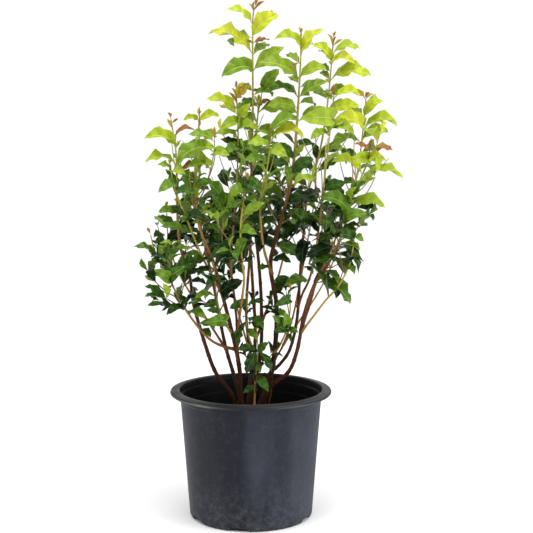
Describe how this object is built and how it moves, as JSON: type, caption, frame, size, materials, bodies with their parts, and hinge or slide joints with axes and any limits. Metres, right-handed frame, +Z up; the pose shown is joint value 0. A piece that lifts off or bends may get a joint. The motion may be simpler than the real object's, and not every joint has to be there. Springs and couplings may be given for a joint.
{
  "type": "potted tea olive shrub",
  "caption": "Bushy evergreen tea olive with upright brown stems and glossy leaves, standing in a round black nursery pot.",
  "frame": {"origin": "the centre of the pot's flat underside, on the pot's axis", "axes": "+Z up along the pot's axis; +X to the right as the picture shows the plant; the front of the plant is towards -Y"},
  "size_m": [0.4369, 0.3615, 0.8891],
  "materials": {
    "pot_plastic": "matte dark blue-grey moulded plastic, dusty and lightly scuffed",
    "soil": "dark brown bark-based potting mix, rough and matt",
    "bark": "thin brown bark, dark at the foot and olive-tan on young shoots",
    "leaves": "leathery glossy leaves, dark green low down to bright yellow-green at the shoot tips"
  },
  "bodies": {
    "root": {"bough_back_left_low": "bark", "bough_back_low": "bark", "bough_back_right": "bark", "bough_back_right_low": "bark", "bough_front": "bark", "bough_left_low": "bark", "bough_left_side": "bark", "bough_left_upright": "bark", "bough_low_left": "bark", "bough_low_middle": "bark", "bough_low_right": "bark", "bough_middle_front": "bark", "bough_right_fork": "bark", "bough_right_low": "bark", "bough_right_side": "bark", "foliage_back": "leaves", "foliage_back_left": "leaves", "foliage_back_left_low": "leaves", "foliage_back_low": "leaves", "foliage_back_right": "leaves", "foliage_back_right_low": "leaves", "foliage_centre": "leaves", "foliage_front": "leaves", "foliage_left_inner": "leaves", "foliage_left_low": "leaves", "foliage_left_outer": "leaves", "foliage_left_side": "leaves", "foliage_left_upright": "leaves", "foliage_low_front": "leaves", "foliage_low_left": "leaves", "foliage_low_middle": "leaves", "foliage_low_right": "leaves", "foliage_middle": "leaves", "foliage_middle_front": "leaves", "foliage_right": "leaves", "foliage_right_fork": "leaves", "foliage_right_inner": "leaves", "foliage_right_low": "leaves", "foliage_right_outer": "leaves", "foliage_right_side": "leaves", "foliage_thin_right": "leaves", "pot": "pot_plastic", "soil": "soil", "stem_back": "bark", "stem_back_left": "bark", "stem_centre": "bark", "stem_left_inner": "bark", "stem_left_outer": "bark", "stem_low_front": "bark", "stem_middle": "bark", "stem_right": "bark", "stem_right_inner": "bark", "stem_right_outer": "bark", "stem_thin_right": "bark"}
  },
  "joints": []
}
